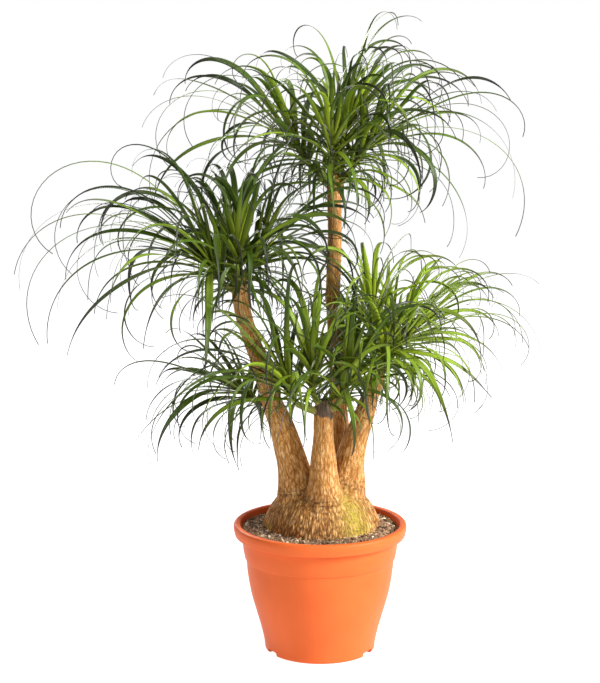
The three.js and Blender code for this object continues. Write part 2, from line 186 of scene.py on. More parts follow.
def apply_modifiers(obj):
    graph = bpy.context.evaluated_depsgraph_get()
    mesh = bpy.data.meshes.new_from_object(obj.evaluated_get(graph))
    obj.modifiers.clear()
    old = obj.data
    obj.data = mesh
    bpy.data.meshes.remove(old)


def coordinates(obj):
    flat = np.empty(len(obj.data.vertices) * 3)
    obj.data.vertices.foreach_get("co", flat)
    return flat.reshape(-1, 3)


def set_coordinates(obj, points):
    obj.data.vertices.foreach_set("co", np.asarray(points, dtype=np.float64).ravel())
    obj.data.update()


def noise_at(points, scale):
    """Smooth noise about 0 at each point, finer in grain for a larger scale."""
    return np.array([noise.noise(Vector(p) * scale) for p in points])


def normals(obj):
    flat = np.empty(len(obj.data.vertices) * 3)
    obj.data.vertices.foreach_get("normal", flat)
    return flat.reshape(-1, 3)


# ---- materials ----------------------------------------------------------------------------

class Graph:
    """A material's node tree with short calls for the nodes used here."""

    def __init__(self, name, roughness):
        self.material = bpy.data.materials.new(name)
        self.material.use_nodes = True
        self.tree = self.material.node_tree
        self.shader = self.tree.nodes["Principled BSDF"]
        self.shader.inputs["Roughness"].default_value = roughness

    def node(self, kind, **values):
        made = self.tree.nodes.new(kind)
        for key, value in values.items():
            setattr(made, key, value)
        return made

    def link(self, source, target):
        self.tree.links.new(source, target)

    def attribute(self, name):
        return self.node("ShaderNodeAttribute", attribute_name=name).outputs["Fac"]

    def position(self, scale=(1, 1, 1)):
        coordinate = self.node("ShaderNodeTexCoord")
        mapping = self.node("ShaderNodeMapping")
        mapping.inputs["Scale"].default_value = scale
        self.link(coordinate.outputs["Object"], mapping.inputs["Vector"])
        return mapping.outputs["Vector"]

    def noise(self, vector, scale, detail=4, roughness=0.55, distortion=0):
        made = self.node("ShaderNodeTexNoise")
        made.inputs["Scale"].default_value = scale
        made.inputs["Detail"].default_value = detail
        made.inputs["Roughness"].default_value = roughness
        made.inputs["Distortion"].default_value = distortion
        self.link(vector, made.inputs["Vector"])
        return made.outputs["Fac"]

    def cracks(self, vector, scale, distortion):
        """Distance to the nearest edge of irregular plates, 0 in the crack."""
        wobble = self.noise(vector, scale * 0.6, 2)
        shifted = self.node("ShaderNodeVectorMath", operation="ADD")
        self.link(vector, shifted.inputs[0])
        push = self.math("MULTIPLY", wobble, distortion / scale)
        self.link(self.combine(push, push, push), shifted.inputs[1])
        made = self.node("ShaderNodeTexVoronoi", feature="DISTANCE_TO_EDGE")
        made.inputs["Scale"].default_value = scale
        self.link(shifted.outputs[0], made.inputs["Vector"])
        return made.outputs["Distance"]

    def ramp(self, factor, stops):
        made = self.node("ShaderNodeValToRGB")
        ramp = made.color_ramp
        while len(ramp.elements) < len(stops):
            ramp.elements.new(0.5)
        for element, (place, colour) in zip(ramp.elements, stops):
            element.position = place
            element.color = (*colour, 1) if len(colour) == 3 else colour
        self.link(factor, made.inputs["Fac"])
        return made.outputs["Color"]

    def mix(self, factor, a, b, blend="MIX"):
        made = self.node("ShaderNodeMix", data_type="RGBA", blend_type=blend)
        self._put(factor, made.inputs[0])
        self._put(a, made.inputs[6])
        self._put(b, made.inputs[7])
        return made.outputs[2]

    def math(self, operation, a, b=0.0):
        made = self.node("ShaderNodeMath", operation=operation)
        self._put(a, made.inputs[0])
        self._put(b, made.inputs[1])
        return made.outputs[0]

    def map(self, value, low, high, to_low, to_high):
        made = self.node("ShaderNodeMapRange")
        self._put(value, made.inputs["Value"])
        numbers = {"From Min": low, "From Max": high, "To Min": to_low, "To Max": to_high}
        for key, number in numbers.items():
            made.inputs[key].default_value = number
        return made.outputs["Result"]

    def combine(self, x, y, z):
        made = self.node("ShaderNodeCombineXYZ")
        for socket, value in zip(made.inputs, (x, y, z)):
            self._put(value, socket)
        return made.outputs[0]

    def bump(self, height, strength, distance, before=None):
        made = self.node("ShaderNodeBump")
        made.inputs["Strength"].default_value = strength
        made.inputs["Distance"].default_value = distance
        self.link(height, made.inputs["Height"])
        if before:
            self.link(before, made.inputs["Normal"])
        self.link(made.outputs["Normal"], self.shader.inputs["Normal"])
        return made.outputs["Normal"]

    def colour(self, source):
        self.link(source, self.shader.inputs["Base Color"])

    def roughness(self, source):
        self.link(source, self.shader.inputs["Roughness"])

    def _put(self, value, socket):
        if isinstance(value, bpy.types.NodeSocket):
            self.link(value, socket)
        elif isinstance(value, tuple):
            socket.default_value = (*value, 1)
        else:
            socket.default_value = value


def pot_plastic():
    g = Graph("pot_plastic", 0.42)
    place = g.position()
    cloud = g.noise(place, 9, 3)
    grain = g.noise(place, 900, 2)
    wear = g.noise(g.position((1, 1, 0.25)), 60, 5, 0.65)
    base = g.ramp(cloud, [(0.3, (0.7, 0.118, 0.022)), (0.7, (0.78, 0.142, 0.03))])
    g.colour(g.mix(g.map(wear, 0.62, 0.8, 0, 0.2), base, (0.86, 0.22, 0.07)))
    g.shader.inputs["Specular IOR Level"].default_value = 0.16
    g.roughness(g.map(wear, 0.3, 0.75, 0.4, 0.54))
    g.shader.inputs["Subsurface Weight"].default_value = 0.05
    g.shader.inputs["Subsurface Radius"].default_value = (0.004, 0.0015, 0.0008)
    rings = g.noise(g.position((0.2, 0.2, 30)), 12, 2)
    first = g.bump(rings, 0.03, 0.001)
    g.bump(grain, 0.08, 0.0004, first)
    return g.material


def soil_material():
    g = Graph("bark_compost", 0.95)
    place = g.position()
    clumps = g.noise(place, 60, 6, 0.7)
    flecks = g.noise(place, 420, 4, 0.7)
    base = g.ramp(clumps, [
        (0.25, (0.06, 0.03, 0.013)), (0.5, (0.19, 0.1, 0.05)), (0.75, (0.38, 0.24, 0.13)),
    ])
    g.colour(g.mix(g.map(flecks, 0.53, 0.68, 0, 0.85), base, (0.66, 0.47, 0.31)))
    g.bump(flecks, 0.8, 0.002)
    return g.material


def chip_material():
    g = Graph("bark_chips", 0.9)
    tone = g.attribute("tone")
    grain = g.noise(g.position(), 500, 4, 0.6)
    base = g.ramp(tone, [
        (0.0, (0.02, 0.009, 0.004)), (0.3, (0.1, 0.045, 0.017)), (0.55, (0.36, 0.2, 0.09)),
        (0.78, (0.66, 0.45, 0.26)), (0.95, (0.95, 0.78, 0.56)),
    ])
    g.colour(g.mix(g.map(grain, 0.4, 0.75, 0, 0.45), base, (0.1, 0.055, 0.03)))
    g.bump(grain, 0.6, 0.0006)
    return g.material


def bark_material():
    """Golden corky bark. Its moss, green twigs, pruned top and deep cracks follow attributes
    on the mesh, and its fine flakes, streaks and leaf scars are colour and bump only."""
    g = Graph("corky_bark", 0.74)
    g.shader.inputs["Specular IOR Level"].default_value = 0.25
    along = g.combine(g.attribute("ring_x"), g.attribute("ring_y"), g.attribute("along"))
    low = g.attribute("low")

    def stretched(scale):
        mapping = g.node("ShaderNodeMapping")
        mapping.inputs["Scale"].default_value = scale
        g.link(along, mapping.inputs["Vector"])
        return mapping.outputs[0]

    streaks = g.noise(stretched((1, 1, 0.13)), 330, 7, 0.7, 0.5)
    broad = g.noise(along, 30, 4, 0.6)
    scars = g.noise(stretched((0.3, 0.3, 3.2)), 90, 4, 0.7)
    plates = g.cracks(stretched((1, 1, 0.2)), 250, 1.1)
    flakes = g.cracks(stretched((1, 1, 0.2)), 470, 1.1)
    golden = g.ramp(streaks, [
        (0.3, (0.22, 0.066, 0.009)), (0.42, (0.53, 0.21, 0.038)), (0.55, (0.8, 0.42, 0.12)),
        (0.7, (0.98, 0.72, 0.39)),
    ])
    patchy = g.mix(g.map(broad, 0.38, 0.66, 0, 0.5), golden, (0.44, 0.17, 0.03))
    scarred = g.mix(g.map(scars, 0.58, 0.72, 0, 0.4), patchy, (0.24, 0.085, 0.016))
    # Painted shade darkens the cracks between the plates, most at the foot, and between the fine flakes;
    # a painted highlight lightens the plates' raised middles.
    split = g.map(plates, 0.0, 0.14, 1.0, 0.0)
    split = g.math("MULTIPLY", split, g.map(low, 0, 1, 0.5, 0.95))
    flaky = g.math("MULTIPLY", g.map(flakes, 0.0, 0.12, 1.0, 0.0), 0.45)
    highlit_plates = g.mix(g.map(plates, 0.14, 0.4, 0.0, 0.5), scarred, (0.85, 0.6, 0.31))
    cracked = g.mix(flaky, g.mix(split, highlit_plates, (0.1, 0.033, 0.005)), (0.2, 0.07, 0.012))
    # Painted shade: the bark goes darker in its deep cracks and along the creases, where the relief is
    # pushed in.
    crack_shade = g.attribute("crack_shade")
    crack_shaded = g.mix(g.map(crack_shade, 0.0, -0.7, 0.0, 0.85), cracked, (0.07, 0.026, 0.008))
    fuzz = g.noise(g.position(), 260, 6, 0.7)
    moss = g.math("MULTIPLY", g.attribute("moss"), g.map(fuzz, 0.4, 0.6, 0, 1))
    mossy = g.mix(moss, crack_shaded, (0.42, 0.38, 0.03))
    cut = g.mix(g.attribute("cut"), mossy, g.ramp(streaks, [
        (0.35, (0.03, 0.02, 0.014)), (0.65, (0.15, 0.11, 0.075)),
    ]))
    g.colour(g.mix(g.attribute("green"), cut, (0.14, 0.2, 0.03)))
    first = g.bump(plates, 0.55, 0.002)
    second = g.bump(streaks, 0.7, 0.0016, first)
    third = g.bump(scars, 0.3, 0.0012, second)
    g.bump(fuzz, 0.3, 0.0006, third)
    return g.material


def leaf_material():
    """A glossy strap: yellow-green at its foot, deep green along it, a dry thread at the tip."""
    g = Graph("strap_leaf", 0.36)
    t = g.attribute("leaf_t")
    u = g.attribute("leaf_u")
    tone = g.attribute("leaf_tone_and_light")
    young = g.attribute("leaf_young")
    # The leaf's tone picks both greens: partly the leaves' own spread of colour, partly painted shade on
    # the darkest blades and painted light on the crowns nearest the key lamp.
    deep = g.ramp(tone, [
        (0.0, (0.005, 0.012, 0.0012)), (0.35, (0.016, 0.038, 0.0025)), (0.65, (0.06, 0.115, 0.006)),
        (1.0, (0.23, 0.34, 0.02)),
    ])
    lit = g.ramp(tone, [(0.0, (0.1, 0.14, 0.007)), (1.0, (0.38, 0.44, 0.025))])
    foot = g.map(t, 0.0, 0.42, 1.0, 0.0)
    foot = g.math("MULTIPLY", foot, g.map(young, 0, 1, 0.3, 1.0))
    body = g.mix(foot, deep, lit)
    lengthwise = g.combine(g.math("MULTIPLY", u, 0.05), g.math("MULTIPLY", t, 0.012), tone)
    veins = g.noise(lengthwise, 170, 3, 0.6)
    veined = g.mix(g.map(veins, 0.42, 0.7, 0.0, 0.35), body, (0.19, 0.27, 0.03))
    edge = g.map(g.math("ABSOLUTE", u), 0.72, 1.0, 0.0, 0.45)
    edged = g.mix(edge, veined, (0.015, 0.035, 0.005))
    dry = g.map(t, 0.52, 0.84, 0.0, 0.95)
    g.colour(g.mix(dry, edged, (0.016, 0.012, 0.013)))
    g.roughness(g.map(veins, 0.3, 0.7, 0.3, 0.44))
    g.shader.inputs["Specular IOR Level"].default_value = 0.28
    g.bump(veins, 0.3, 0.0005)
    return g.material


def floor_material():
    """A pale studio floor that glows a little, so that it stays white away from the lamps."""
    g = Graph("pale_floor", 0.9)
    tint = g.ramp(g.noise(g.position(), 3, 2), [(0.3, (0.3, 0.3, 0.3)), (0.7, (0.33, 0.33, 0.33))])
    g.colour(tint)
    g.shader.inputs["Specular IOR Level"].default_value = 0.0
    g.shader.inputs["Emission Color"].default_value = (1, 1, 1, 1)
    g.shader.inputs["Emission Strength"].default_value = 0.95
    return g.material


# ---- pot ----------------------------------------------------------------------------------

def arc(centre, radius, start, end, steps):
    """Points on a round corner of a profile, angles in degrees from +radius towards +height."""
    angles = np.radians(np.linspace(start, end, steps))
    return [(centre[0] + radius * math.cos(a), centre[1] + radius * math.sin(a)) for a in angles]


def spline(points, per_span):
    """A smooth curve through profile points, as a list that keeps the end points."""
    pts = np.array([points[0], *points, points[-1]], float)
    out = []
    for a, b, c, d in zip(pts, pts[1:], pts[2:], pts[3:]):
        for t in np.arange(per_span) / per_span:
            out.append(0.5 * (2 * b + (c - a) * t + (2 * a - 5 * b + 4 * c - d) * t ** 2
                              + (3 * b - a - 3 * c + d) * t ** 3))
    return [tuple(p) for p in out] + [tuple(pts[-2])]


def turned_mesh(profile, sides):
    """A (radius, height) profile in metres that starts and ends on the axis, turned round Z."""
    rings = profile[1:-1]
    angles = np.arange(sides) * 2 * math.pi / sides
    points = [(0, 0, profile[0][1])]
    for radius, height in rings:
        points += [(radius * math.cos(a), radius * math.sin(a), height) for a in angles]
    points.append((0, 0, profile[-1][1]))
    faces = [(0, 1 + (k + 1) % sides, 1 + k) for k in range(sides)]
    for i in range(len(rings) - 1):
        a, b = 1 + i * sides, 1 + (i + 1) * sides
        faces += [(a + k, a + (k + 1) % sides, b + (k + 1) % sides, b + k) for k in range(sides)]
    last = 1 + (len(rings) - 1) * sides
    faces += [(last + k, last + (k + 1) % sides, len(points) - 1) for k in range(sides)]
    return points, faces


POT_SIDES = 180
POT_WALL = 3.5          # millimetres
POT_SHARP_ANGLE = 38    # degrees, above which an edge of the pot stays sharp
NOTCH_COUNT = 3
NOTCH_HALF_WIDTH, NOTCH_HEIGHT, NOTCH_CORNER = 16, 9, 5    # millimetres
NOTCH_REACH = (91, 112)    # from the pot's axis, in millimetres

# The pot's body from the foot to the step under the rim, (radius, height) in millimetres.
POT_BODY = [
    (102.2, 4), (104.3, 20), (109.8, 44), (117.8, 72), (127.8, 108), (133.8, 142), (136.6, 171),
]


def pot_profile():
    """The pot's section in millimetres: floor, foot, shoulder, step, rolled rim and inner wall."""
    body = spline(POT_BODY, 8)
    outside = [(0, 0), (60, 0)] + arc((98.2, 4), 4, -90, -8, 7) + body
    step = [(137, 173.2), (137.4, 174.2), (139.2, 175.2), (139.7, 176.6)] + spline(
        [(140.6, 182), (142.4, 192), (143.9, 212)], 4)
    rim = arc((146.1, 214.8), 2.2, 180, 100, 4) + [(150, 217.4)]
    rim += arc((155.2, 219.6), 2.3, -90, 0, 5)
    rim += spline([(158.2, 223), (159.6, 228), (159.9, 232)], 4)
    rim += arc((154.4, 234.6), 5.3, 5, 100, 9) + arc((150.6, 236.6), 3.1, 95, 185, 6)
    rim += [(146.6, 231), (145.2, 223), (143, 218), (140.6, 213)]
    inside = [(138.4, 192), (135.8, 177)] + [(r - POT_WALL, z) for r, z in reversed(body)][2:-3]
    floor = arc((92, 9.5), 5, 0, -90, 5) + [(40, 4.5), (0, 4.5)]
    return [(r * MM, z * MM) for r, z in outside + step + rim + inside + floor]


def make_pot(material):
    points, faces = turned_mesh(pot_profile(), POT_SIDES)
    pot = mesh_object("pot_shell", points, faces, material)
    for k in range(NOTCH_COUNT):
        cutter = notch_cutter(k)
        cut = pot.modifiers.new("notch", "BOOLEAN")
        cut.object = cutter
        cut.operation = "DIFFERENCE"
        cut.solver = "EXACT"
        apply_modifiers(pot)
        bpy.data.objects.remove(cutter)
    pot.data.shade_smooth()
    pot.data.set_sharp_from_angle(angle=math.radians(POT_SHARP_ANGLE))
    return pot


def notch_cutter(k):
    """The arched bar that cuts drainage notch k into the pot's base corner."""
    half, corner = NOTCH_HALF_WIDTH, NOTCH_CORNER
    level = NOTCH_HEIGHT - corner
    outline = [(-half, -3), (half, -3), (half, 4)] + arc((half - corner, level), corner, 0, 90, 6)
    outline += arc((corner - half, level), corner, 90, 180, 6)
    turn = math.pi / 2 + k * 2 * math.pi / NOTCH_COUNT
    points = []
    for depth in NOTCH_REACH:
        for x, z in outline:
            across = Vector((math.cos(turn + math.pi / 2), math.sin(turn + math.pi / 2), 0)) * x
            out = Vector((math.cos(turn), math.sin(turn), 0)) * depth
            points.append((across + out + Vector((0, 0, z))) * MM)
    n = len(outline)
    faces = [tuple(range(n)), tuple(range(2 * n - 1, n - 1, -1))]
    faces += [(i, i + n, (i + 1) % n + n, (i + 1) % n) for i in range(n)]
    cutter = mesh_object("cutter", points, faces, None, smooth=False)
    fix = bmesh.new()
    fix.from_mesh(cutter.data)
    bmesh.ops.recalc_face_normals(fix, faces=fix.faces)
    fix.to_mesh(cutter.data)
    fix.free()
    return cutter


# ---- soil ---------------------------------------------------------------------------------

SOIL_SIDES, SOIL_RINGS = 220, 34
SOIL_INNER, SOIL_OUTER = 0.0905, 0.1446    # the radii that the soil's top lies between, in metres
CHIP_COUNT = 2600


def soil_height(x, y):
    """The soil's level in metres: mounded at the trunk, lower at the wall, uneven all over."""
    radius = np.hypot(x, y)
    level = (236 - 6.5 * smoothstep(0.106, 0.142, radius)) * MM
    rough = np.array([noise.noise(Vector((a * 55, b * 55, 0))) for a, b in zip(x, y)])
    fine = np.array([noise.noise(Vector((a * 190, b * 190, 4))) for a, b in zip(x, y)])
    return level + rough * 1.6 * MM + fine * 1.1 * MM


def make_soil(material):
    """A ring of compost that fills the pot and goes in under the swollen foot."""
    sides = SOIL_SIDES
    angles = np.arange(sides) * 2 * math.pi / sides
    radii = np.linspace(SOIL_INNER, SOIL_OUTER, SOIL_RINGS)
    grid = np.array([(r * math.cos(a), r * math.sin(a)) for r in radii for a in angles])
    top = np.column_stack([grid, soil_height(grid[:, 0], grid[:, 1])])
    lower = [(0.1395, 0.212), (0.1365, 0.19), (0.1325, 0.172), (0.1295, 0.142), (0.1235, 0.108),
             (0.1135, 0.072), (0.1055, 0.044), (0.1, 0.02), (0.093, 0.0056), (0.02, 0.0056)]
    inner = [(0.02, 0.16), (SOIL_INNER, 0.205)]
    under = [(r * math.cos(a), r * math.sin(a), z) for r, z in lower + inner for a in angles]
    points = np.vstack([top, under])
    count = SOIL_RINGS + len(lower) + len(inner)
    faces = []
    for i in range(count):
        a, b = i * sides, ((i + 1) % count) * sides
        faces += [(a + k, b + k, b + (k + 1) % sides, a + (k + 1) % sides) for k in range(sides)]
    return mesh_object("soil_bed", points, faces, material)


def make_chips(material):
    """Loose bark and grit lying on the soil, each an irregular closed pebble."""
    rng = np.random.default_rng(7)
    template = bmesh.new()
    bmesh.ops.create_icosphere(template, subdivisions=1, radius=1)
    ball = np.array([v.co[:] for v in template.verts])
    tris = np.array([[v.index for v in f.verts] for f in template.faces])
    template.free()
    points, faces, tones = [], [], []
    for _ in range(CHIP_COUNT):
        angle = rng.uniform(0, 2 * math.pi)
        radius = math.sqrt(rng.uniform(0.098 ** 2, 0.1425 ** 2))
        size = rng.uniform(0.6, 1.5) * (2.2 if rng.random() < 0.12 else 1) * MM
        stretch = np.array([rng.uniform(0.8, 2.4), rng.uniform(0.6, 1.2), rng.uniform(0.35, 0.8)])
        shape = ball * (1 + rng.uniform(-0.28, 0.28, (len(ball), 1))) * stretch * size
        spin, tilt = rng.uniform(0, 2 * math.pi), rng.normal(0, 0.35)
        turn = np.array([
            [math.cos(spin), -math.sin(spin), 0], [math.sin(spin), math.cos(spin), 0], [0, 0, 1],
        ]) @ np.array([
            [math.cos(tilt), 0, math.sin(tilt)], [0, 1, 0], [-math.sin(tilt), 0, math.cos(tilt)],
        ])
        x, y = radius * math.cos(angle), radius * math.sin(angle)
        z = float(soil_height(np.array([x]), np.array([y]))[0]) + size * 0.25
        faces += list(tris + len(points))
        points += list(shape @ turn.T + np.array([x, y, z]))
        tones += [rng.random()] * len(ball)
    chips = mesh_object("soil_chips", points, faces, material, smooth=False)
    set_attribute(chips, "tone", tones)
    return chips


# ---- trunk --------------------------------------------------------------------------------

CAUDEX_SIDES, LIMB_SIDES = 96, 28
BARK_VOXEL = 0.0017                    # metres
FOOT_WRAP, STEM_WRAP = 0.085, 0.02     # radii in metres that the bark's pattern is wound round
END_DOME = 0.35                        # how far a limb's end bulges, as a share of its radius


def limb_samples(points, spacing=3.0):
    """Evenly spaced (x, y, z, radius) samples in metres along a smooth curve through points."""
    fine = np.array(spline(points, 12))
    steps = np.concatenate([[0], np.cumsum(np.linalg.norm(np.diff(fine[:, :3], axis=0), axis=1))])
    places = np.linspace(0, steps[-1], max(4, int(steps[-1] / spacing)))
    return np.column_stack([np.interp(places, steps, fine[:, k]) for k in range(4)]) * MM


def tube(samples, sides):
    """A closed round tube with domed ends through (x, y, z, radius) samples."""
    centre, radius = samples[:, :3], samples[:, 3]
    tangent = np.gradient(centre, axis=0)
    tangent /= np.linalg.norm(tangent, axis=1)[:, None]
    side = np.cross(tangent, [0, 1, 0])
    side /= np.linalg.norm(side, axis=1)[:, None]
    other = np.cross(tangent, side)
    angles = np.arange(sides) * 2 * math.pi / sides
    points = []
    for c, r, a, b in zip(centre, radius, side, other):
        points += [c + r * (math.cos(q) * a + math.sin(q) * b) for q in angles]
    start, end = len(points), len(points) + 1
    points.append(centre[0] - tangent[0] * radius[0] * END_DOME)
    points.append(centre[-1] + tangent[-1] * radius[-1] * END_DOME)
    faces = []
    for i in range(len(samples) - 1):
        a, b = i * sides, (i + 1) * sides
        faces += [(a + k, a + (k + 1) % sides, b + (k + 1) % sides, b + k) for k in range(sides)]
    last = (len(samples) - 1) * sides
    faces += [(start, (k + 1) % sides, k) for k in range(sides)]
    faces += [(end, last + k, last + (k + 1) % sides) for k in range(sides)]
    return points, faces


def twig_points(root, foot, heading, rise, leafy):
    """A twig from its stem into the leafy part of its shoot, (x, y, z, radius)."""
    axis = direction(heading, rise)
    root, foot = np.array(root, float), np.array(foot, float)
    bend = root + (foot - root) * 0.6 - axis * 6
    tip = foot + axis * leafy * 0.9
    return [(*root, 8), (*bend, 6.5), (*foot, 5.2), (*tip, 3)]


def trunk_limbs():
    """Every limb's samples by name: the stems, then the twigs."""
    limbs = {name: limb_samples(points) for name, points in STEMS.items()}
    for name, root, foot, heading, rise, _, _, _, leafy in SHOOTS:
        limbs["twig_" + name] = limb_samples(twig_points(root, foot, heading, rise, leafy))
    return limbs


def make_trunk(material):
    limbs = trunk_limbs()
    points, faces = turned_mesh([(r * MM, z * MM) for r, z in spline(CAUDEX, 4)], CAUDEX_SIDES)
    points = [(x + CAUDEX_SHIFT * MM, y, z) for x, y, z in points]
    for samples in limbs.values():
        more, extra = tube(samples, LIMB_SIDES)
        faces += [tuple(i + len(points) for i in f) for f in extra]
        points += more
    trunk = mesh_object("trunk_bark", points, faces, material)
    remesh = trunk.modifiers.new("remesh", "REMESH")
    remesh.mode = "VOXEL"
    remesh.voxel_size = BARK_VOXEL
    smooth = trunk.modifiers.new("smooth", "SMOOTH")
    smooth.iterations = 6
    smooth.factor = 0.6
    apply_modifiers(trunk)
    if not trunk.data.materials:
        trunk.data.materials.append(material)
    dress_bark(trunk, limbs)
    trunk.data.shade_smooth()
    return trunk


def nearest_limb(points, limbs):
    """For each point: distance along its nearest limb, the direction out from that limb's
    centre line, how many radii away it is, and which limb it is."""
    best = np.full(len(points), 1e9)
    along = np.zeros(len(points))
    out = np.zeros((len(points), 3))
    which = np.zeros(len(points), int)
    for index, samples in enumerate(limbs.values()):
        steps = np.linalg.norm(np.diff(samples[:, :3], axis=0), axis=1)
        length = np.concatenate([[0], np.cumsum(steps)])
        for start in range(0, len(points), 8000):
            part = slice(start, start + 8000)
            away = points[part, None, :] - samples[None, :, :3]
            ratio = np.linalg.norm(away, axis=2) / samples[None, :, 3]
            pick = ratio.argmin(axis=1)
            rows = np.arange(len(pick))
            closer = ratio[rows, pick] < best[part]
            best[part] = np.where(closer, ratio[rows, pick], best[part])
            along[part] = np.where(closer, length[pick], along[part])
            out[part] = np.where(closer[:, None], away[rows, pick], out[part])
            which[part] = np.where(closer, index, which[part])
    out /= np.maximum(np.linalg.norm(out, axis=1), 1e-9)[:, None]
    return along, out, best, which


def cork(points, scale, seed):
    """Corky plates and the cracks between them, about -1 in a crack to 0.6 on a ridge."""
    values = np.empty(len(points))
    for i, p in enumerate(points):
        place = Vector(p) * scale
        wobble = noise.noise_vector(place * 0.7) * 0.8
        near, far = noise.voronoi(place + wobble + Vector((seed, 0, 0)))[0][:2]
        values[i] = min(0.6, (far - near) * 2.2 - 0.75)
    return values


def dress_bark(trunk, limbs):
    """Pushes ridges, cracks, rings and creases into the bark and stores what colours it."""
    points, outward = coordinates(trunk), normals(trunk)
    level = points[:, 2]
    along, out, ratio, which = nearest_limb(points, limbs)
    names = list(limbs)
    angle = np.arctan2(points[:, 1], points[:, 0])
    foot = smoothstep(1.02, 1.14, ratio) * smoothstep(0.345, 0.31, level)
    foot = np.maximum(foot, smoothstep(0.3, 0.262, level))
    round_x = np.where(foot > 0.5, np.cos(angle) * FOOT_WRAP, out[:, 0] * STEM_WRAP)
    round_y = np.where(foot > 0.5, np.sin(angle) * FOOT_WRAP, out[:, 1] * STEM_WRAP)
    run = np.where(foot > 0.5, level, along + 0.3 + which * 0.37)
    deep = cork(np.column_stack([round_x, round_y, run * 0.34]), 175, 0)
    fine = cork(np.column_stack([round_x, round_y, run * 0.28]), 340, 5)
    swell = noise_at(points, 26)
    low = smoothstep(0.345, 0.24, level)
    stem = 1 - low
    twig = np.array([name.startswith("twig_") for name in names])[which]
    ring = np.array([noise.noise(Vector((a * 9, b * 9, r * 330)))
                     for a, b, r in zip(round_x, round_y, run)])
    push = deep * low * 1.5 + fine * (0.7 * low + 0.4 * stem * (1 - 0.6 * twig))    # millimetres
    push = push + swell * (2.4 * low + 0.5)
    push += ring * 0.3 * stem
    waver = noise_at(points, 34) * 0.004
    crease = np.zeros(len(points))
    for name, place in (("stump", 0.018), ("left", 0.024), ("right", 0.03)):
        mine = which == names.index(name)
        for order, offset in enumerate((0, 0.0075, 0.0145)):
            line = np.exp(-((along - place - offset - waver) / 0.0017) ** 2)
            crease = np.maximum(crease, mine * line * (1 - 0.25 * order))
    push -= crease * 1.3
    set_coordinates(trunk, points + outward * (push * MM)[:, None])
    # painted shade for the material: negative in the deep cracks and the creases
    crack_shade = deep * low * 0.6 + fine * 0.3 - crease * 0.45
    set_attribute(trunk, "crack_shade", crack_shade)
    set_attribute(trunk, "low", low)
    set_attribute(trunk, "ring_x", round_x)
    set_attribute(trunk, "ring_y", round_y)
    set_attribute(trunk, "along", run)
    patch = np.exp(-((angle + 0.85) / 0.3) ** 2) * smoothstep(0.335, 0.27, level)
    second = np.exp(-((np.abs(angle) - 2.75) / 0.2) ** 2)
    patch += 0.8 * second * smoothstep(0.262, 0.235, level)
    set_attribute(trunk, "moss", np.clip(patch * 0.85, 0, 1))
    top = names.index("stump")
    ragged = noise_at(points, 90) * 0.012
    cut = (which == top) * smoothstep(0.448, 0.458, level + ragged)
    set_attribute(trunk, "cut", cut * 0.95)
    set_attribute(trunk, "green", twig * smoothstep(0.006, 0.022, along) * 0.85)


# ---- leaves -------------------------------------------------------------------------------

LEAF_STEPS = 34
LEAF_WIDTH = 14        # millimetres
TWIG_LEAVES = 14       # for each shoot
FRONT_HEADING = -85    # degrees, towards the photographer
FRONT_CLEAR = 32       # degrees each side of that, where the front shoots' twigs are bare
# Painted light on each crown's leaves, 0 for the darkest: the right crown, nearest the key lamp, is
# painted lightest.
CROWN_PAINTED_LIGHT = {"left": 0.02, "right": 0.75, "front": 0.25, "top": 0.2, "low": 0.0}
LEAF_START = 4.5       # millimetres from the shoot's axis
LEAF_SKIN = 0.35       # half the blade's thickness in millimetres
LEAF_WANDER = 16       # degrees that the most wayward leaf strays from an even arch
THREAD_LENGTH = 360    # a leaf longer than this is a thread for most of its length
BOX_MARGIN = 0.012     # metres that a leaf may reach past the CAD model's box


def shoot_frame(heading, rise):
    axis = direction(heading, rise)
    u = np.cross(axis, [0, 0, 1])
    u /= np.linalg.norm(u)
    return axis, u, np.cross(u, axis)


def shoot_leaves(index, shoot):
    """The leaves of one shoot as dictionaries. They take their courses from the same list and
    random numbers as the CAD part's leaves, which are fewer, and are narrower than those."""
    name, _, foot, heading, rise, count, length, spread, leafy = shoot
    axis, u, v = shoot_frame(heading, rise)
    foot = np.array(foot, float)
    leaves = []
    for i in range(count):
        age = (i + 0.5) / count
        seed = index * 31 + i
        cone = math.radians(4 + spread * age ** 0.75 + (random_at(seed, 1) - 0.5) * 16)
        spin = i * GOLDEN_ANGLE + index * 50
        out = u * math.cos(math.radians(spin)) + v * math.sin(math.radians(spin))
        start = axis * math.cos(cone) + out * math.sin(cone)
        lift = math.degrees(math.asin(start[2]))
        tip = (-20 - 110 * random_at(seed, 3)) if age < 0.25 else (-60 - 140 * random_at(seed, 3))
        reach = 0.68 + 0.36 * math.sin(math.pi * (0.1 + 0.8 * age))
        leaves.append({
            "base": foot + axis * leafy * (1 - age) + out * LEAF_START,
            "spin": spin, "heading": math.degrees(math.atan2(start[1], start[0])), "rise": lift,
            "droop": max(60, lift - tip),
            "length": length * reach * (0.75 + 0.45 * random_at(seed, 2)),
            "curl": 1.2 + 1.4 * random_at(seed, 4) + (0.8 if age < 0.4 else 0),
            "sway": (random_at(seed, 5) - 0.5) * 110,
            "width": LEAF_WIDTH * (0.45 + 0.6 * random_at(seed, 6)), "age": age, "seed": seed,
        })
    for k, (owner, *leaf) in enumerate(LONG_LEAVES):
        if owner == name:
            lean = direction(leaf[0], leaf[1])
            out = lean - axis * lean.dot(axis)
            out /= np.linalg.norm(out)
            leaves.append({
                "base": foot + axis * leafy / 2 + out * LEAF_START,
                "spin": math.degrees(math.atan2(lean.dot(v), lean.dot(u))),
                **dict(zip(("heading", "rise", "droop", "length", "curl", "sway", "width"), leaf)),
                "age": 0.5, "seed": 900 + k,
            })
    return leaves


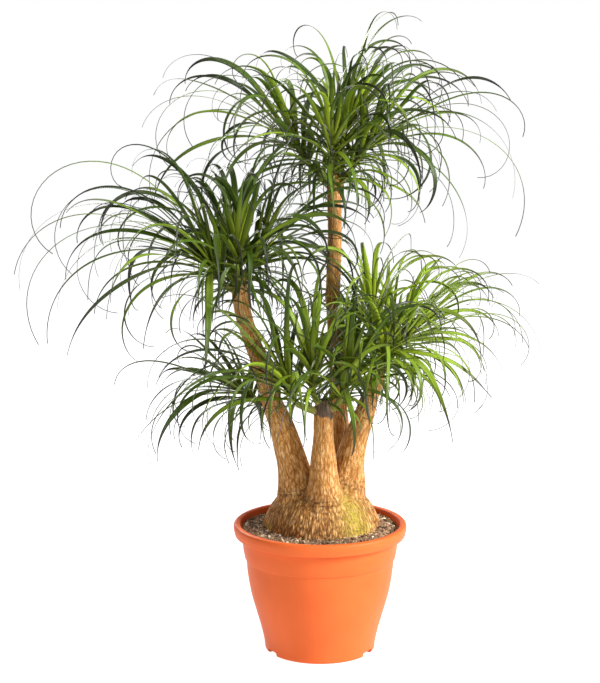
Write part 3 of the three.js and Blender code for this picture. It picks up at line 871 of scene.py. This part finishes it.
def twig_leaves(index, shoot):
    """Older leaves between the stem and the foot of a shoot's leafy part, which hide its twig."""
    _, root, foot, heading, rise, _, length, _, _ = shoot
    axis, u, v = shoot_frame(heading, rise)
    root, foot = np.array(root, float), np.array(foot, float)
    leaves = []
    for i in range(TWIG_LEAVES):
        seed = 2000 + index * 37 + i
        age = (i + 0.5) / TWIG_LEAVES
        spin = i * GOLDEN_ANGLE + index * 70
        out = u * math.cos(math.radians(spin)) + v * math.sin(math.radians(spin))
        cone = math.radians(36 + 40 * random_at(seed, 1))
        start = axis * math.cos(cone) + out * math.sin(cone)
        lift = math.degrees(math.asin(start[2]))
        leaves.append({
            "base": foot + (root - foot) * 0.9 * age + out * (LEAF_START + 3),
            "spin": spin, "heading": math.degrees(math.atan2(start[1], start[0])), "rise": lift,
            "droop": max(50, lift + 70 + 110 * random_at(seed, 3)),
            "length": length * (0.3 + 0.4 * random_at(seed, 2)),
            "curl": 1.1 + 0.9 * random_at(seed, 4),
            "sway": (random_at(seed, 5) - 0.5) * 130, "width": 5.5 + 5.5 * random_at(seed, 6),
            "age": 0.85, "seed": seed,
        })
    if shoot[0].startswith("front"):
        leaves = [leaf for leaf in leaves if abs(leaf["heading"] - FRONT_HEADING) > FRONT_CLEAR]
    return leaves


def leaf_course(leaf, t):
    """Heading and rise in degrees along a leaf: an even droop with a slight wander of its own."""
    first, second = (2 * math.pi * random_at(leaf["seed"], k) for k in (10, 11))
    heading = leaf["heading"] + leaf["sway"] * t ** 2
    heading = heading + leaf["wander"] * (np.sin(6 * t + first) - math.sin(first))
    rise = leaf["rise"] - leaf["droop"] * t ** leaf["curl"]
    return heading, rise + leaf["wander"] * 0.6 * t * (np.sin(7 * t + second) - math.sin(second))


def leaf_blade(leaf):
    """Points, faces and attributes of one strap leaf, a thin closed solid with a shallow keel."""
    steps = LEAF_STEPS
    seed = leaf["seed"]
    fine = (np.arange(steps * 4) + 0.5) / (steps * 4)
    path = np.cumsum(direction(*leaf_course(leaf, fine)) * leaf["length"] / (steps * 4), axis=0)
    centre = leaf["base"] + np.vstack([np.zeros(3), path[3::4]])
    t = np.arange(steps + 1) / steps
    heading, rise = leaf_course(leaf, t)
    tangent = direction(heading, rise)
    flat = direction(heading + 90, 0 * rise)
    up = np.cross(tangent, flat)
    twist = np.radians((random_at(seed, 7) - 0.5) * 200 * t ** 1.2 + 12 * np.sin(5 * t + seed))
    across = flat * np.cos(twist)[:, None] + up * np.sin(twist)[:, None]
    over = np.cross(tangent, across)
    swell = np.minimum(1, 0.6 + 2.0 * t)
    taper = 0.85 if leaf["length"] > THREAD_LENGTH else 1.4 + 1.6 * random_at(seed, 9)
    half = np.maximum(0.75, leaf["width"] / 2 * swell * (1 - t ** taper) ** 1.3)
    keel = half * (0.16 + 0.5 * np.exp(-t * 9))
    skin = np.maximum(0.22, LEAF_SKIN * (1 - 0.5 * t))
    section = [(-1, 0), (-0.5, 1), (0, 1), (0.5, 1), (1, 0), (0.5, -1), (0, -1), (-0.5, -1)]
    points = np.empty((steps + 1, len(section), 3))
    for k, (u, side) in enumerate(section):
        lift = keel * (u * u) + skin * side
        points[:, k] = centre + across * (half * u)[:, None] + over * lift[:, None]
    n = len(section)
    faces = [tuple(range(n)), tuple(steps * n + k for k in reversed(range(n)))]
    for i in range(steps):
        a, b = i * n, (i + 1) * n
        faces += [(a + k, b + k, b + (k + 1) % n, a + (k + 1) % n) for k in range(n)]
    values = {
        "leaf_t": np.repeat(t, n),
        "leaf_u": np.tile([u for u, _ in section], steps + 1),
        # a random tone per leaf, partly painted shade and light between blades, plus its crown's painted
        # light
        "leaf_tone_and_light": np.full((steps + 1) * n, min(1, random_at(seed, 8) * 0.85 + leaf["tone"])),
        "leaf_young": np.full((steps + 1) * n, 1 - leaf["age"]),
    }
    return points.reshape(-1, 3) * MM, faces, values


def fitted_blade(leaf):
    """The leaf's blade, the leaf being shortened while it goes too far past the CAD model's box."""
    low, high = (np.array(corner) for corner in CAD_BOX)
    while True:
        blade = leaf_blade(leaf)
        points = blade[0]
        if (points > low - BOX_MARGIN).all() and (points < high + BOX_MARGIN).all():
            return blade
        leaf["length"] *= 0.96


def make_tuft(name, leaves, material):
    """One mesh of the given leaves, with the attributes that the leaf material reads."""
    points, faces, values = [], [], {}
    for leaf in leaves:
        more, extra, numbers = fitted_blade(leaf)
        faces += [tuple(i + len(points) for i in f) for f in extra]
        points += list(more)
        for key, column in numbers.items():
            values.setdefault(key, []).append(column)
    tuft = mesh_object(name, points, faces, material)
    for key, columns in values.items():
        set_attribute(tuft, key, np.concatenate(columns))
    return tuft


def make_foliage(material):
    """One piece for each CAD tuft: the leaves that grow on its side of the shoot."""
    pieces = {}
    half = 180 / TUFTS_PER_SHOOT
    for index, shoot in enumerate(SHOOTS):
        leaves = shoot_leaves(index, shoot) + twig_leaves(index, shoot)
        for leaf in leaves:
            # each leaf's tone is lifted by its crown's painted light
            leaf["tone"] = CROWN_PAINTED_LIGHT[shoot[0].split("_")[0]]
            leaf["wander"] = LEAF_WANDER * random_at(leaf["seed"], 12)
        for k in range(TUFTS_PER_SHOOT):
            middle = index * 40 + k * 360 / TUFTS_PER_SHOOT
            mine = [leaf for leaf in leaves if abs((leaf["spin"] - middle + 180) % 360 - 180) < half]
            node = f"{shoot[0]}_leaves_{k + 1}"
            pieces[node] = make_tuft(f"foliage_{shoot[0]}_{k + 1}", mine, material)
    return pieces


# ---- stage --------------------------------------------------------------------------------

def area_light(name, place, target, size, power):
    light = bpy.data.lights.new(name, "AREA")
    light.shape = "RECTANGLE"
    light.size, light.size_y = size
    light.energy = power
    lamp = bpy.data.objects.new(name, light)
    lamp.location = place
    lamp.rotation_euler = (Vector(target) - Vector(place)).to_track_quat("-Z", "Y").to_euler()
    bpy.context.scene.collection.objects.link(lamp)


def studio_world():
    """White as the camera sees it. Its light on the plant is dimmer, so leaves keep shadows."""
    world = bpy.data.worlds.new("studio")
    world.use_nodes = True
    tree = world.node_tree
    where = tree.nodes.new("ShaderNodeTexCoord")
    split = tree.nodes.new("ShaderNodeSeparateXYZ")
    ramp = tree.nodes.new("ShaderNodeValToRGB")
    ramp.color_ramp.elements[0].position = 0.12
    ramp.color_ramp.elements[0].color = (0.62, 0.62, 0.62, 1)
    ramp.color_ramp.elements[1].position = 0.5
    ramp.color_ramp.elements[1].color = (0.3, 0.3, 0.3, 1)
    ray = tree.nodes.new("ShaderNodeLightPath")
    seen = tree.nodes.new("ShaderNodeMix")
    seen.data_type = "RGBA"
    seen.inputs[7].default_value = (1, 1, 1, 1)
    tree.links.new(where.outputs["Generated"], split.inputs[0])
    tree.links.new(split.outputs["Z"], ramp.inputs["Fac"])
    tree.links.new(ramp.outputs["Color"], seen.inputs[6])
    tree.links.new(ray.outputs["Is Camera Ray"], seen.inputs[0])
    tree.links.new(seen.outputs[2], tree.nodes["Background"].inputs["Color"])
    return world


def make_stage():
    half = 6    # metres
    corners = [(-half, -half, 0), (half, -half, 0), (half, half, 0), (-half, half, 0)]
    floor = mesh_object("floor", corners, [(0, 1, 2, 3)], floor_material(), smooth=False)
    bpy.context.scene.world = studio_world()
    middle = (0, 0, 0.5)
    area_light("key_light", (2.9, -1.4, 2.0), middle, (1.5, 1.5), 250)
    area_light("top_light", (0.2, -0.4, 3.4), middle, (1.2, 1.2), 50)
    area_light("back_light", (-1.5, 3.0, 2.2), middle, (1.2, 1.2), 70)


def make_camera():
    camera = bpy.data.objects.new("camera", bpy.data.cameras.new("camera"))
    camera.data.lens = 94.2
    camera.location = (0, -3.2, 1.134)
    target = Vector((-0.037, 0, 0.578))
    camera.rotation_euler = (target - camera.location).to_track_quat("-Z", "Y").to_euler()
    bpy.context.scene.collection.objects.link(camera)
    bpy.context.scene.camera = camera


# ---- assembly -----------------------------------------------------------------------------

def mount(piece, node):
    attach(piece, BODY)
    if node:
        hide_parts(node)


make_camera()
make_stage()
mount(make_pot(pot_plastic()), "pot")
mount(make_soil(soil_material()), "potting_soil")
mount(make_chips(chip_material()), None)
mount(make_trunk(bark_material()), "trunk")
for node_name, tuft_piece in make_foliage(leaf_material()).items():
    mount(tuft_piece, node_name)

scene = bpy.context.scene
scene.view_settings.view_transform = "Standard"
scene.view_settings.look = "None"
